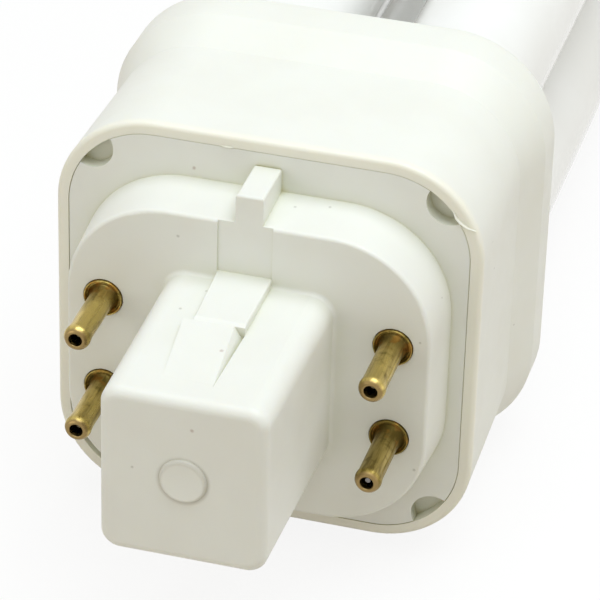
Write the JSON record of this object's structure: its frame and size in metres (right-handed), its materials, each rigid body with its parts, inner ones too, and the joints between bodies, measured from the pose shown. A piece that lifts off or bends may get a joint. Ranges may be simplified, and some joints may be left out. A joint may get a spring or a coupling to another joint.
{
  "type": "four-pin compact fluorescent bulb",
  "caption": "Compact fluorescent bulb with a square white cap, a hollow keyed post, hollow brass pins and two bridged U-shaped glass tubes.",
  "frame": {"origin": "middle of the four pins, on the face of the cap that closes against the lampholder", "axes": "+Y along the lamp from the cap to the glass, +Z to the key rib, +X across the wide pin spacing"},
  "size_m": [0.0352, 0.146, 0.0352],
  "materials": {
    "cap_plastic": "moulded, soft gloss",
    "housing_plastic": "moulded, soft gloss",
    "pin_metal": "drawn, slightly dull",
    "coated_glass": "clear glass over a white coating",
    "cement": "dry, gritty",
    "lead_metal": "plated wire"
  },
  "bodies": {
    "root": {"pin_carrier": "cap_plastic", "lamp_housing": "housing_plastic", "contact_pin_left_lower": "pin_metal", "contact_pin_left_upper": "pin_metal", "contact_pin_right_lower": "pin_metal", "contact_pin_right_upper": "pin_metal", "discharge_tube": "coated_glass", "basing_cement": "cement", "lead_wire_left_lower": "lead_metal", "lead_wire_left_upper": "lead_metal", "lead_wire_right_lower": "lead_metal", "lead_wire_right_upper": "lead_metal"}
  },
  "joints": []
}
